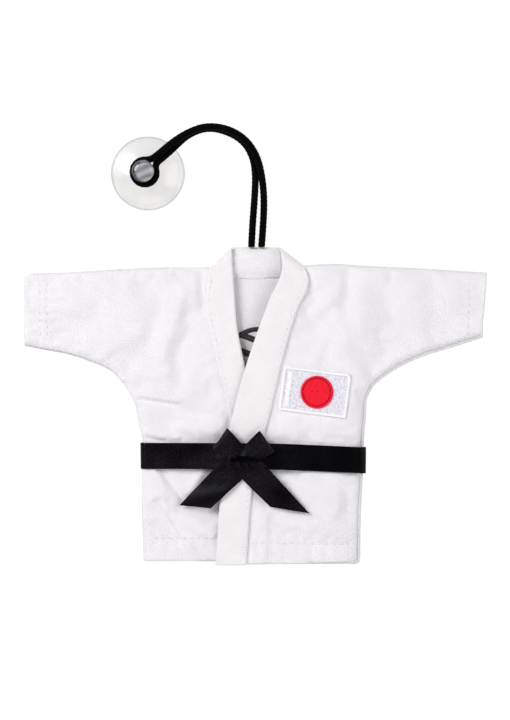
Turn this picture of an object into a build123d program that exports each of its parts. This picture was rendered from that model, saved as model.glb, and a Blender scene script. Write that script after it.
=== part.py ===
from build123d import *
import math
import os

os.makedirs("parts", exist_ok=True)

# Miniature martial arts jacket that hangs from a suction cup. It lies on its back, with its front up.
# +X points to the wearer's left, +Y to the collar and +Z out of the front. Units are millimetres.
# The origin is under the middle of the jacket, on the surface it lies on.

# ---------------------------------------------------------------- driving dimensions

HALF_SPAN = 92.2          # from the middle to the end of either sleeve
COLLAR_TOP = 63.2         # upper edge of the collar above the middle
HEM_BOTTOM = -63.2        # lower edge of the longest panel
ARMHOLE = 52.0            # distance from the middle to the line where a sleeve folds
BODY_GAP = 0.15           # half of the clearance between a sleeve and the jacket
SEAM = 3.0                # width of a seam allowance
HEM = 8.0                 # height of a turned-up hem
CUFF_HEM = 7.0            # width of a turned-in cuff

# Heights of the layers, each as (bottom, top).
BACK = (0.0, 1.2)
BACK_HEM = (1.2, 1.8)
NECK_BAND = (2.1, 3.1)
BARTACK = (1.2, 2.1)
RIGHT_HEM = (1.9, 2.4)
RIGHT_FRONT = (2.4, 3.2)
RIGHT_BAND = (3.2, 4.2)
LEFT_HEM = (4.3, 4.8)
LEFT_FRONT = (4.8, 5.6)
LEFT_BAND = (5.6, 6.6)
SLEEVE = (0.0, 3.9)
SLEEVE_HOLLOW = (1.1, 2.9)
CUFF_SLOT = (1.7, 2.3)

# Ribbon belt and its bow.
RIBBON_WIDTH = 10.4
RIBBON = 0.5
BELT_MIDDLE = -20.8       # height of the belt's middle on the jacket
BELT_TILT = -1.0          # degrees, lower on the wearer's left
BELT_RIGHT = -45.9        # outer face of the belt at the wearer's right
BELT_LEFT = 44.0
BELT_FRONT = (6.9, 7.4)
CHANNEL_DEPTH = 0.8       # the cloth of the back is pulled in over the belt's back run
CHANNEL = (-36.0, -13.9)  # the belt can slide down inside this height
KNOT = (-9.5, -0.5, -25.5, -15.5)
KNOT_TOP = 10.0
LOOP_TOP = 8.6

# Patch on the wearer's left front.
PATCH_SIZE = (27.6, 18.2)
PATCH_MIDDLE = (23.7, 5.5)
PATCH_TILT = -7.3
PATCH_BORDER = 1.3
DISC_RADIUS = 6.4

# Embroidered ring on the back.
EMBLEM_MIDDLE = (1.1, 18.6)
EMBLEM_RADIUS = 12.9
EMBLEM_STROKE = 2.0
EMBLEM_BARS = (6.6, 0.6)  # how far each bar lies from the ring's middle
EMBLEM_TILT = -21.0
EMBLEM_LAYER = (0.4, 1.4)  # stitched into the cloth, and proud of its inner face

# Elastic cord and suction cup.
CORD_DIAMETER = 2.8
CUP_MIDDLE = (-43.6, 92.6)
CUP_RADIUS = 14.8
NECK_RADIUS = 2.8
HEAD_RADIUS = 4.4
DOME_TOP = 5.4
HEAD_BOTTOM = 10.8
HEAD_TOP = 14.4

# ---------------------------------------------------------------- outlines

# The wearer's right side of the jacket, from the armpit down to the hem.
RIGHT_SIDE = [(-ARMHOLE + BODY_GAP, 8.0), (-48.0, 0.8), (-46.4, -7.0), (-45.0, -13.5)]
RIGHT_SKIRT = [(-45.0, -13.5), (-44.4, -61.9)]
LEFT_SIDE = [(ARMHOLE - BODY_GAP, 11.6), (46.8, 7.0), (44.6, 2.5), (44.1, -3.0), (43.2, -13.5)]
LEFT_SKIRT = [(43.2, -13.5), (41.8, -60.4)]
HEM_CORNER = [(41.8, -60.4), (40.6, HEM_BOTTOM)]
BOTTOM = [(40.6, HEM_BOTTOM), (-44.4, -61.9)]

RIGHT_SHOULDER = [(-ARMHOLE + BODY_GAP, 54.3), (-18.2, 54.9)]
LEFT_SHOULDER = [(19.6, 55.6), (28.6, 56.3), (ARMHOLE - BODY_GAP, 55.2)]
NECK_RIGHT = (-9.5, COLLAR_TOP)
NECK_LEFT = (9.7, COLLAR_TOP)

# Sleeves, from the fold at the armhole out to the cuff.
RIGHT_SLEEVE_TOP = [(-ARMHOLE - BODY_GAP, 54.3), (-HALF_SPAN, 51.3)]
RIGHT_SLEEVE_UNDER = [(-ARMHOLE - BODY_GAP, 8.3), (-57.0, 13.6), (-66.8, 18.2), (-76.6, 21.2), (-HALF_SPAN, 24.2)]
LEFT_SLEEVE_TOP = [(ARMHOLE + BODY_GAP, 55.2), (HALF_SPAN, 52.8)]
LEFT_SLEEVE_UNDER = [(ARMHOLE + BODY_GAP, 12.0), (58.6, 15.9), (65.1, 18.9), (78.2, 23.1), (90.6, 27.0)]

# Lapel bands. The wearer's right band crosses under the left one at the waist.
RIGHT_BAND_OUTER = [
    (-18.2, 54.9), (-19.6, 42.2), (-17.0, 26.2), (-9.8, -5.8), (-4.5, -25.0), (3.3, -62.5),
]
RIGHT_BAND_INNER = [
    (-9.5, COLLAR_TOP), (-8.6, 49.2), (-7.4, 32.9), (2.0, -5.8), (7.2, -25.0), (15.2, -62.6),
]
LEFT_BAND_OUTER = [
    (19.6, 55.6), (21.2, 49.2), (17.1, 39.4), (5.4, -4.3), (0.0, -25.0), (-3.6, HEM_BOTTOM),
]
LEFT_BAND_INNER = [
    (9.7, COLLAR_TOP), (10.4, 54.0), (5.7, 42.6), (-9.6, -5.8), (-13.2, -25.0), (-15.9, HEM_BOTTOM),
]
PANEL_UNDER_BAND = 6.0    # how far a front panel reaches in under its own band

# The cord's route: from the collar up, over, once round the cup's neck and back to the collar.
CORD_START = COLLAR_TOP + 2 * BODY_GAP
CORD_POINTS = [
    (-1.6, CORD_START, 2.0),
    (-1.3, 71.0, 1.6),
    (-0.4, 82.0, 1.8),
    (0.1, 92.0, 2.3),
    (-1.0, 99.2, 3.0),
    (-4.6, 105.3, 3.8),
    (-11.3, 109.2, 4.6),
    (-19.3, 110.7, 5.3),
    (-26.9, 107.7, 6.0),
    (-32.2, 102.6, 6.4),
    (-36.3, 98.8, 6.7),
    (-40.0, 95.9, 6.8),
    (-39.0, 91.2, 7.1),
    (-41.8, 87.9, 7.3),
    (-46.0, 88.0, 7.6),
    (-48.6, 91.0, 7.9),
    (-48.4, 94.9, 8.3),
    (-45.6, 97.4, 8.7),
    (-41.4, 97.3, 9.0),
    (-37.9, 100.0, 9.2),
    (-32.8, 104.4, 9.2),
    (-26.6, 108.4, 8.9),
    (-19.2, 111.0, 8.3),
    (-10.8, 109.9, 7.5),
    (-3.9, 105.9, 6.6),
    (0.6, 99.4, 5.5),
    (2.6, 91.5, 4.1),
    (3.5, 82.5, 2.6),
    (3.1, 72.0, 1.8),
    (2.4, CORD_START, 2.0),
]

# ---------------------------------------------------------------- helpers


def curve(points):
    """A straight line through two points, or a smooth curve through more."""
    if len(points) == 2:
        return Line(*points)
    return Spline(*points)


def plate(runs, layer):
    """A flat solid between two heights. Each run of points starts where the last one ended."""
    bottom, top = layer
    face = Face(Wire([edge for run in runs for edge in curve(run).edges()]))
    if face.normal_at().Z < 0:
        face = -face
    return extrude(Pos(0, 0, bottom) * face, amount=top - bottom, dir=(0, 0, 1))


def polygon(points, layer):
    """A flat solid with straight edges."""
    return plate([[a, b] for a, b in zip(points, points[1:] + points[:1])], layer)


def shifted(points, dx, dy):
    return [(x + dx, y + dy) for x, y in points]


def strip(points, dx, dy, layer):
    """A flat strip between a line and the same line moved sideways."""
    moved = shifted(points, dx, dy)
    back = moved[::-1]
    return plate([points, [points[-1], back[0]], back, [back[-1], points[0]]], layer)


def band(outer, inner, layer):
    """A flat strip between two separate lines that both run from the collar down to the hem."""
    back = inner[::-1]
    return plate([outer, [outer[-1], back[0]], back, [back[-1], outer[0]]], layer)


def save(name, solid):
    export_step(solid, f"parts/{name}.step")


# ---------------------------------------------------------------- back of the jacket


def emblem_sketch():
    """A plain embroidered ring with two slanting bars across it."""
    ring = Circle(EMBLEM_RADIUS) - Circle(EMBLEM_RADIUS - EMBLEM_STROKE)
    middle = EMBLEM_RADIUS - EMBLEM_STROKE / 2
    bars = Sketch()
    for offset in EMBLEM_BARS:
        length = 2 * math.sqrt(middle**2 - offset**2)
        bars += Rot(0, 0, EMBLEM_TILT) * Pos(0, offset) * Rectangle(length, EMBLEM_STROKE)
    return Pos(*EMBLEM_MIDDLE) * (ring + bars)


def build_back():
    outline = plate(
        [
            RIGHT_SHOULDER,
            [RIGHT_SHOULDER[-1], NECK_RIGHT],
            [NECK_RIGHT, NECK_LEFT],
            [NECK_LEFT, LEFT_SHOULDER[0]],
            LEFT_SHOULDER,
            [LEFT_SHOULDER[-1], LEFT_SIDE[0]],
            LEFT_SIDE,
            LEFT_SKIRT,
            HEM_CORNER,
            BOTTOM,
            RIGHT_SKIRT[::-1],
            RIGHT_SIDE[::-1],
            [RIGHT_SIDE[0], RIGHT_SHOULDER[0]],
        ],
        BACK,
    )
    height = CHANNEL[1] - CHANNEL[0]
    middle = (CHANNEL[0] + CHANNEL[1]) / 2
    channel = Pos(0, middle, CHANNEL_DEPTH / 2) * Box(2 * HALF_SPAN, height, CHANNEL_DEPTH)
    emblem_bottom, emblem_top = EMBLEM_LAYER
    emblem = extrude(Pos(0, 0, emblem_bottom) * emblem_sketch(), amount=emblem_top - emblem_bottom)
    save("back_panel", outline - channel - emblem)
    save("back_emblem", emblem)
    hem = [(-44.4 + SEAM + 0.2, -62.0), (41.8 - SEAM - 0.2, -63.0)]
    save("back_hem", strip(hem, 0, HEM, BACK_HEM))


def build_collar_back():
    neck = [(-10.6, 50.8), (9.8, 50.8), (9.7, COLLAR_TOP), (-9.5, COLLAR_TOP)]
    save("back_neck_band", polygon(neck, NECK_BAND))
    tack = [(-4.0, 56.0), (4.8, 56.0), (4.8, COLLAR_TOP), (-4.0, COLLAR_TOP)]
    save("cord_bartack", polygon(tack, BARTACK))


# ---------------------------------------------------------------- fronts


def build_right_front():
    """The wearer's right front, which lies underneath at the waist."""
    inner = shifted(RIGHT_BAND_OUTER, PANEL_UNDER_BAND, 0)
    inner[0] = (RIGHT_SHOULDER[-1][0] + PANEL_UNDER_BAND - 2.0, RIGHT_SHOULDER[-1][1])
    panel = plate(
        [
            RIGHT_SHOULDER,
            [RIGHT_SHOULDER[-1], inner[0]],
            inner,
            [inner[-1], RIGHT_SKIRT[-1]],
            RIGHT_SKIRT[::-1],
            RIGHT_SIDE[::-1],
            [RIGHT_SIDE[0], RIGHT_SHOULDER[0]],
        ],
        RIGHT_FRONT,
    )
    save("right_front_panel", panel)
    save("right_lapel_band", band(RIGHT_BAND_OUTER, RIGHT_BAND_INNER, RIGHT_BAND))
    hem = [(-44.4 + SEAM + 0.2, -61.9), (2.0, -62.4)]
    save("right_front_hem", strip(hem, 0, HEM, RIGHT_HEM))


def build_left_front():
    """The wearer's left front, which crosses over the right one."""
    inner = shifted(LEFT_BAND_OUTER, -PANEL_UNDER_BAND, 0)
    inner[0] = (LEFT_SHOULDER[0][0] - PANEL_UNDER_BAND + 2.0, LEFT_SHOULDER[0][1])
    panel = plate(
        [
            LEFT_SHOULDER,
            [LEFT_SHOULDER[-1], LEFT_SIDE[0]],
            LEFT_SIDE,
            LEFT_SKIRT,
            HEM_CORNER,
            [HEM_CORNER[-1], inner[-1]],
            inner[::-1],
            [inner[0], LEFT_SHOULDER[0]],
        ],
        LEFT_FRONT,
    )
    save("left_front_panel", panel)
    save("left_lapel_band", band(LEFT_BAND_OUTER, LEFT_BAND_INNER, LEFT_BAND))
    hem = [(-8.0, HEM_BOTTOM), (41.8 - SEAM - 0.2, HEM_BOTTOM)]
    save("left_front_hem", strip(hem, 0, HEM, LEFT_HEM))


def build_seams():
    """The seams that close the sides and shoulders between the back and each front."""
    right = (BACK[1], RIGHT_FRONT[0])
    left = (BACK[1], LEFT_FRONT[0])
    save("right_side_seam", strip(RIGHT_SIDE, SEAM, 0, right) + strip(RIGHT_SKIRT, SEAM, 0, right))
    save("left_side_seam", strip(LEFT_SIDE, -SEAM, 0, left) + strip(LEFT_SKIRT, -SEAM, 0, left))
    save("right_shoulder_seam", strip(RIGHT_SHOULDER, 0, -SEAM, right))
    save("left_shoulder_seam", strip(LEFT_SHOULDER, 0, -SEAM, left))


def build_patch():
    place = Pos(*PATCH_MIDDLE, LEFT_FRONT[1]) * Rot(0, 0, PATCH_TILT)
    length, height = PATCH_SIZE
    inside = Rectangle(length - 2 * PATCH_BORDER, height - 2 * PATCH_BORDER)
    save("patch_field", extrude(place * inside, amount=0.5))
    save("patch_border", extrude(place * (Rectangle(length, height) - inside), amount=0.9))
    save("patch_disc", extrude(place * Pos(0.7, 0.0, 0.5) * Circle(DISC_RADIUS), amount=0.4))


# ---------------------------------------------------------------- sleeves


def between(top, under, layer):
    """A flat solid between the upper and lower edge of a sleeve."""
    return plate([top, [top[-1], under[-1]], under[::-1], [under[0], top[0]]], layer)


def build_sleeve(side, top, under):
    """A sleeve is one cloth folded over at the shoulder and sewn along the underarm."""
    hollow = between(shifted(top, 0, -SEAM / 2), under, SLEEVE_HOLLOW)
    save(f"{side}_sleeve", between(top, under, SLEEVE) - hollow)

    direction = math.copysign(1, top[-1][0])
    cuff_start = under[-1][0] - direction * CUFF_HEM
    beyond_cuff = Pos(cuff_start + direction * HALF_SPAN, 0, 0) * Box(2 * HALF_SPAN, 2 * HALF_SPAN, 10)
    slot = between(shifted(top, 0, -SEAM), shifted(under, 0, SEAM), CUFF_SLOT)
    save(f"{side}_cuff_hem", (hollow & beyond_cuff) - slot)
    save(f"{side}_underarm_seam", strip(under, 0, SEAM, SLEEVE_HOLLOW) - beyond_cuff)


# ---------------------------------------------------------------- belt and bow


def belt_edge(x, part):
    """Height of the belt's upper (part 1) or lower (part -1) edge at a distance from the middle."""
    return BELT_MIDDLE + x * math.tan(math.radians(BELT_TILT)) + part * RIBBON_WIDTH / 2


def belt_run(start, end, layer):
    corners = [(start, belt_edge(start, -1)), (end, belt_edge(end, -1))]
    corners += [(end, belt_edge(end, 1)), (start, belt_edge(start, 1))]
    return polygon(corners, layer)


def build_belt():
    save("belt_front_run", belt_run(BELT_RIGHT, BELT_LEFT, BELT_FRONT))
    save("belt_back_run", belt_run(BELT_RIGHT, BELT_LEFT, (0.0, RIBBON)))
    turn = (RIBBON, BELT_FRONT[0])
    save("belt_right_turn", belt_run(BELT_RIGHT, BELT_RIGHT + RIBBON, turn))
    save("belt_left_turn", belt_run(BELT_LEFT - RIBBON, BELT_LEFT, turn))


def build_bow():
    low = BELT_FRONT[1]
    x0, x1, y0, y1 = KNOT
    save("bow_knot", polygon([(x0, y0), (x1, y0), (x1, y1), (x0, y1)], (low, KNOT_TOP)))
    right_loop = [(-11.1, -8.7), (-17.3, -16.8), (x0, -23.5), (x0, y1), (-5.0, y1), (-4.6, -14.5)]
    left_loop = [(1.3, -9.9), (7.6, -17.8), (x1, -24.0), (x1, y1), (-4.4, y1), (-3.9, -14.5)]
    save("bow_right_loop", polygon(right_loop, (low, LOOP_TOP)))
    save("bow_left_loop", polygon(left_loop, (low, LOOP_TOP)))
    right_tail = [(-16.7, y0), (-30.3, -39.6), (-17.7, -40.6), (-5.1, -29.0), (x1, y0)]
    left_tail = [(x0, y0), (-5.1, -29.0), (5.9, -40.0), (21.4, -42.6), (5.0, y0)]
    save("bow_right_tail", polygon(right_tail, (low, low + RIBBON)))
    save("bow_left_tail", polygon(left_tail, (low + RIBBON, low + 2 * RIBBON)))


# ---------------------------------------------------------------- cord and suction cup


def turn_radius(before, corner, after):
    """The radius that leaves a tenth of the shorter run straight between two arcs."""
    into = Vector(*corner) - Vector(*before)
    out = Vector(*after) - Vector(*corner)
    half_turn = math.radians(into.get_angle(out)) / 2
    return 0.45 * min(into.length, out.length) / math.tan(half_turn)


def build_cord():
    corners = zip(CORD_POINTS, CORD_POINTS[1:], CORD_POINTS[2:])
    radii = [turn_radius(*three) for three in corners]
    path = FilletPolyline(*CORD_POINTS, radius=radii)
    section = Plane(origin=path @ 0, z_dir=path % 0) * Circle(CORD_DIAMETER / 2)
    cord = sweep(section, path=path)
    save("elastic_cord", cord)
    expected = path.length * math.pi * CORD_DIAMETER**2 / 4
    print("cord radii", [round(radius, 1) for radius in radii])
    print("cord length", round(path.length, 2), "volume", round(cord.volume, 1), "expected", round(expected, 1))


def build_cup():
    """One clear moulding: a shallow cup, a short neck for the cord and a round head."""
    profile = [
        Line((0, 3.4), (0, HEAD_TOP)),
        Spline((0, HEAD_TOP), (3.3, 13.6), (HEAD_RADIUS, 12.3), tangents=[(1, 0), (0, -1)]),
        Spline((HEAD_RADIUS, 12.3), (NECK_RADIUS, HEAD_BOTTOM), tangents=[(0, -1), (-1, -0.2)]),
        Line((NECK_RADIUS, HEAD_BOTTOM), (NECK_RADIUS, DOME_TOP)),
        Spline((NECK_RADIUS, DOME_TOP), (8.0, 4.4), (CUP_RADIUS, 0.7)),
        Line((CUP_RADIUS, 0.7), (CUP_RADIUS, 0)),
        Line((CUP_RADIUS, 0), (CUP_RADIUS - 0.8, 0)),
        Spline((CUP_RADIUS - 0.8, 0), (8.0, 2.5), (0, 3.4), tangents=[(-1, 0.35), (-1, 0)]),
    ]
    face = Plane.XZ * make_face(profile)
    save("suction_cup", Pos(*CUP_MIDDLE) * revolve(face, axis=Axis.Z))


build_back()
build_collar_back()
build_right_front()
build_left_front()
build_seams()
build_patch()
build_sleeve("right", RIGHT_SLEEVE_TOP, RIGHT_SLEEVE_UNDER)
build_sleeve("left", LEFT_SLEEVE_TOP, LEFT_SLEEVE_UNDER)
build_belt()
build_bow()
build_cord()
build_cup()
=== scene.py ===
import math

import bpy
import numpy as np
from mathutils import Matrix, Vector, noise
from mathutils.geometry import delaunay_2d_cdt


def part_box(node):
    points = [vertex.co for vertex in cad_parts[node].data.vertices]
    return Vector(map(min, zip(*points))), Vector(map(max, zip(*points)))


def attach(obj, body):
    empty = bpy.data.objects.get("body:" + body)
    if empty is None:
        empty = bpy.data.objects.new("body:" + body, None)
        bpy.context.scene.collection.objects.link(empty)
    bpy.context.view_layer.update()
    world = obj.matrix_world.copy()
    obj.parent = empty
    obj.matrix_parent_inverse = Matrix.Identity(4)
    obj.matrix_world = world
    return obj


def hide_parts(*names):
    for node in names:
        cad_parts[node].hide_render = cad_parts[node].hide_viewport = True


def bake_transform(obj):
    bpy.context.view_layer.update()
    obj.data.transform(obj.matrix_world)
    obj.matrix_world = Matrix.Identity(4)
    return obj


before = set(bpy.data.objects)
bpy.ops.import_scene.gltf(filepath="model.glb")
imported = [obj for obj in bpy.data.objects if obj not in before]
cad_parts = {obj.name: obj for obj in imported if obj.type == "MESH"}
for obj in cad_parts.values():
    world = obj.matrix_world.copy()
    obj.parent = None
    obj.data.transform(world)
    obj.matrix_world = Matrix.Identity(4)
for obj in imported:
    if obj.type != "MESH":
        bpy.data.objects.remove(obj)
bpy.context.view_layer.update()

# Miniature martial arts jacket with a ribbon belt, an elastic cord and a suction cup, lying on its back.
# Sizes and places below are millimetres in the frame's own axes. Meshes are made in metres.

MM = 0.001


def box_mm(node):
    """Lowest and highest corner of a CAD node, in millimetres."""
    low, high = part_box(node)
    return np.array(low) / MM, np.array(high) / MM


# ---------------------------------------------------------------- driving dimensions

COLLAR_TOP = box_mm("back_neck_band")[1][1]
HEM = box_mm("left_front_panel")[0][1]
CLOTH = 0.7               # thickness of the cotton twill
RIBBON = 0.32             # thickness of the belt's ribbon
EDGE_FRONT = 3.0          # height of the front's cloth at the seams and shoulder folds
EDGE_BACK = 2.35          # height of the back's cloth there
NECK_EDGE = 2.6           # height of the collar bands where they are sewn to the neck
EDGE_ROUND = 3.0          # how far the cloth rounds over before it reaches a seam
SEAM_INSET = 1.3          # the wearer's left front is sewn this far inside the edge of the back
BACK_TOP = 0.85           # upper face of the back, where it lies flat
RIGHT_TOP = 3.5           # upper face of the wearer's right front, the lower one
LEFT_TOP = 5.6            # upper face of the wearer's left front, the upper one
SLEEVE_TOP = 4.3          # upper face of both sleeves
BAND_THICKNESS = 1.15     # the padded collar bands
BAND_FLOOR = 0.25         # their underside, above what they lie on
BAND_STITCH_INSET = 1.4   # their row of stitches, from the outer edge

BELT_MIDDLE = -19.95      # the belt is level on the wearer's right, and slopes down from the bow on the left
BELT_SLOPE = -0.046
BELT_HALF_WIDTH = 5.2
KNOT_HALF_WIDTH = 1.1
BELT_SLIP = 8.0           # how far the belt can slip down
BELT_CLEARANCE = 0.3      # room left between the belt and the cloth under its way

SIMULATED = 0.02          # the cloth buckles at twenty times its size, where the solver is steady
SLACK = 0.011             # how much too big the cloth is
BENDING = 30.0            # how stiff it is
SETTLING_FRAMES = 20
BUCKLE_SIDEWAYS = 0.5     # how far buckling may move the cloth
BUCKLE_DOWN = 0.7
BUCKLE_UP = 0.9

PATCH_MIDDLE = (23.7, 5.5)
PATCH_SIZE = (27.6, 18.2)
PATCH_TILT = math.radians(-7.3)
DISC_RADIUS = 6.4
DISC_PLACE = np.array([0.7, 0.0])
DISC_GROOVE = 0.95        # the groove beside the rim, from the disc's edge

EMBLEM_MIDDLE = (1.1, 18.6)
EMBLEM_RADIUS = 12.9
EMBLEM_STROKE = 2.0
EMBLEM_BARS = (6.6, 0.6)  # how far the two bars lie from the ring's middle
EMBLEM_TILT = math.radians(-21.0)

CORD_DIAMETER = 2.8
CUP_MIDDLE = (-43.6, 92.6)

CAMERA_PLACE = (-0.2, 18.2, 800.0)
CAMERA_LENS = 100.0

# ---------------------------------------------------------------- outlines, as in the CAD

ARMPIT_RIGHT = (-52.0, 8.2)
RIGHT_UNDER = [(-92.2, 24.2), (-84.5, 22.6), (-76.6, 21.2), (-66.8, 18.2), (-57.0, 13.6), ARMPIT_RIGHT]
RIGHT_SIDE = [
    ARMPIT_RIGHT, (-48.0, 0.8), (-46.4, -7.0), (-45.0, -13.5), (-45.1, -26.5), (-45.1, -41.0), (-44.4, -61.9),
]
RIGHT_SHOULDER = [(-18.2, 54.9), (-36.0, 54.9), (-52.0, 54.3), (-70.1, 53.2), (-89.6, 52.4)]
RIGHT_CUFF = [(-89.6, 52.4), (-92.2, 51.2), (-92.2, 24.2)]

ARMPIT_LEFT = (52.0, 11.9)
LEFT_UNDER = [(90.6, 27.0), (78.2, 23.1), (65.1, 18.9), (58.6, 15.9), ARMPIT_LEFT]
LEFT_SIDE = [
    ARMPIT_LEFT, (46.8, 7.2), (44.6, 2.5), (44.2, -3.0), (43.3, -13.5), (42.8, -28.5), (42.0, -45.8),
    (41.8, -60.6),
]
LEFT_CORNER = [(41.8, -60.6), (41.3, -62.6), (39.8, HEM)]
LEFT_SHOULDER = [(19.6, 55.6), (28.6, 56.3), (45.5, 55.4), (65.1, 54.5), (92.2, 52.8)]
LEFT_CUFF = [(92.2, 52.8), (90.6, 27.0)]

NECK_RIGHT = (-9.5, COLLAR_TOP)
NECK_LEFT = (9.7, COLLAR_TOP)

RIGHT_BAND_OUTER = [(-18.2, 54.9), (-19.7, 42.2), (-17.0, 26.2), (-9.8, -5.8), (-4.5, -25.0), (3.3, -61.5)]
RIGHT_BAND_INNER = [NECK_RIGHT, (-8.6, 49.2), (-7.4, 32.9), (2.0, -5.8), (7.2, -25.0), (15.2, -61.6)]
LEFT_BAND_OUTER = [
    (19.8, 55.4), (21.2, 49.2), (17.1, 39.4), (5.4, -4.3), (0.0, -25.0), (-2.1, -41.0), (-3.6, HEM),
]
LEFT_BAND_INNER = [
    NECK_LEFT, (10.4, 54.0), (5.7, 42.6), (-9.6, -5.8), (-13.2, -25.0), (-14.4, -41.0), (-15.9, HEM),
]
PANEL_UNDER_BAND = 6.0

# The cord's route: from the collar up, over, once round the cup's neck and back to the collar.
CORD_START = COLLAR_TOP + 0.3
CORD_POINTS = [
    (-1.6, CORD_START, 2.0), (-1.3, 71.0, 1.6), (-0.4, 82.0, 1.8), (0.1, 92.0, 2.3), (-1.0, 99.2, 3.0),
    (-4.6, 105.3, 3.8), (-11.3, 109.2, 4.6), (-19.3, 110.7, 5.3), (-26.9, 107.7, 6.0), (-32.2, 102.6, 6.4),
    (-36.3, 98.8, 6.7), (-40.0, 95.9, 6.8), (-39.0, 91.2, 7.1), (-41.8, 87.9, 7.3), (-46.0, 88.0, 7.6),
    (-48.6, 91.0, 7.9), (-48.4, 94.9, 8.3), (-45.6, 97.4, 8.7), (-41.4, 97.3, 9.0), (-37.9, 100.0, 9.2),
    (-32.8, 104.4, 9.2), (-26.6, 108.4, 8.9), (-19.2, 111.0, 8.3), (-10.8, 109.9, 7.5), (-3.9, 105.9, 6.6),
    (0.6, 99.4, 5.5), (2.6, 91.5, 4.1), (3.5, 82.5, 2.6), (3.1, 72.0, 1.8), (2.4, CORD_START, 2.0),
]

# ---------------------------------------------------------------- curves and distances


def dense(points):
    """A smooth curve through the points, in short even steps of its parameter."""
    p = np.array(points, float)
    if len(p) == 2:
        return p[0] + np.linspace(0, 1, 24)[:, None] * (p[1] - p[0])
    gap = np.linalg.norm(np.diff(p, axis=0), axis=1)
    slope = np.diff(p, axis=0) / gap[:, None]
    tangent = np.empty_like(p)
    tangent[0] = slope[0]
    tangent[-1] = slope[-1]
    before, after = gap[:-1, None], gap[1:, None]
    tangent[1:-1] = (slope[1:] * before + slope[:-1] * after) / (before + after)
    t = np.linspace(0, 1, 24, endpoint=False)[:, None]
    pieces = []
    for i, h in enumerate(gap):
        pieces.append(
            (2 * t**3 - 3 * t**2 + 1) * p[i]
            + (t**3 - 2 * t**2 + t) * h * tangent[i]
            + (3 * t**2 - 2 * t**3) * p[i + 1]
            + (t**3 - t**2) * h * tangent[i + 1]
        )
    return np.vstack(pieces + [p[-1:]])


def lengths(line):
    """Distance along a line of points, at each point."""
    return np.concatenate([[0], np.cumsum(np.linalg.norm(np.diff(line, axis=0), axis=1))])


def evenly(line, count):
    """The same line with evenly spaced points."""
    along = lengths(line)
    wanted = np.linspace(0, along[-1], count)
    return np.column_stack([np.interp(wanted, along, line[:, k]) for k in range(line.shape[1])])


def stepped(line, step):
    """The same line with evenly spaced points, about one step apart."""
    return evenly(line, max(2, int(lengths(line)[-1] / step) + 1))


def smooth(points, step=1.0):
    """A smooth curve through the points."""
    return stepped(dense(points), step)


def straight(points, step=1.0):
    """Straight runs from point to point."""
    return stepped(np.array(points, float), step)


def joined(*lines):
    """Lines that follow each other, as one line without doubled points."""
    out = [lines[0]]
    for line in lines[1:]:
        out.append(line[1:] if np.linalg.norm(line[0] - out[-1][-1]) < 0.05 else line)
    return np.vstack(out)


def nearest(xy, line):
    """Distance of each point from a line, and how far along the line its nearest place is."""
    line = np.asarray(line, float)
    start, run = line[:-1], np.diff(line, axis=0)
    size = np.maximum((run**2).sum(1), 1e-12)
    along = lengths(line)
    far, place = [], []
    for chunk in np.array_split(xy, max(1, len(xy) // 4000)):
        offset = chunk[:, None, :] - start[None]
        t = np.clip((offset * run).sum(2) / size, 0, 1)
        gap = np.linalg.norm(offset - t[..., None] * run, axis=2)
        i = gap.argmin(1)
        row = np.arange(len(chunk))
        far.append(gap[row, i])
        place.append(along[i] + t[row, i] * np.sqrt(size[i]))
    return np.concatenate(far), np.concatenate(place)


def ease(value, low, high):
    """0 up to low, 1 from high, and a soft rise between them."""
    t = np.clip((value - low) / (high - low), 0, 1)
    return t * t * (3 - 2 * t)


def rounded(gap, radius):
    """0 at an edge, rising like a quarter circle to 1 at the radius."""
    t = 1 - np.clip(gap / radius, 0, 1)
    return np.sqrt(np.maximum(0, 1 - t * t))


def eased_edge(gap, radius):
    """0 at an edge, rising without a steep wall to 1 at the radius."""
    t = np.clip(gap / radius, 0, 1)
    return t * (2 - t)


def ripple(xy, size, seed):
    """Soft random unevenness of about +-1, with lumps of the given size."""
    return np.array([noise.noise(Vector((x / size, y / size, seed))) for x, y in xy])


# ---------------------------------------------------------------- meshes


def make_object(name, points, faces, uv, material):
    """A smooth-shaded mesh object. Points and UVs are in millimetres."""
    mesh = bpy.data.meshes.new(name)
    mesh.from_pydata((np.asarray(points) * MM).tolist(), [], faces)
    layer = mesh.uv_layers.new(name="UVMap")
    corner = np.empty(len(mesh.loops), int)
    mesh.loops.foreach_get("vertex_index", corner)
    layer.data.foreach_set("uv", np.asarray(uv, float)[corner].ravel())
    mesh.polygons.foreach_set("use_smooth", [True] * len(mesh.polygons))
    mesh.update()
    obj = bpy.data.objects.new(name, mesh)
    bpy.context.scene.collection.objects.link(obj)
    obj.data.materials.append(material)
    return obj


def belongs(piece, body, slot, *nodes):
    """Puts a piece on the body that it rides on, and hides the CAD nodes that it replaces. Its slot is not
    used.
    """
    if nodes:
        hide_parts(*nodes)
    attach(piece, body)


def inside(xy, outline):
    """Which points lie inside a closed outline."""
    x, y = xy[:, 0], xy[:, 1]
    hit = np.zeros(len(xy), bool)
    for (x0, y0), (x1, y1) in zip(outline, np.roll(outline, -1, axis=0)):
        if y0 == y1:
            continue
        crosses = (y0 > y) != (y1 > y)
        hit ^= crosses & (x < (x1 - x0) * (y - y0) / (y1 - y0) + x0)
    return hit


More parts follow.
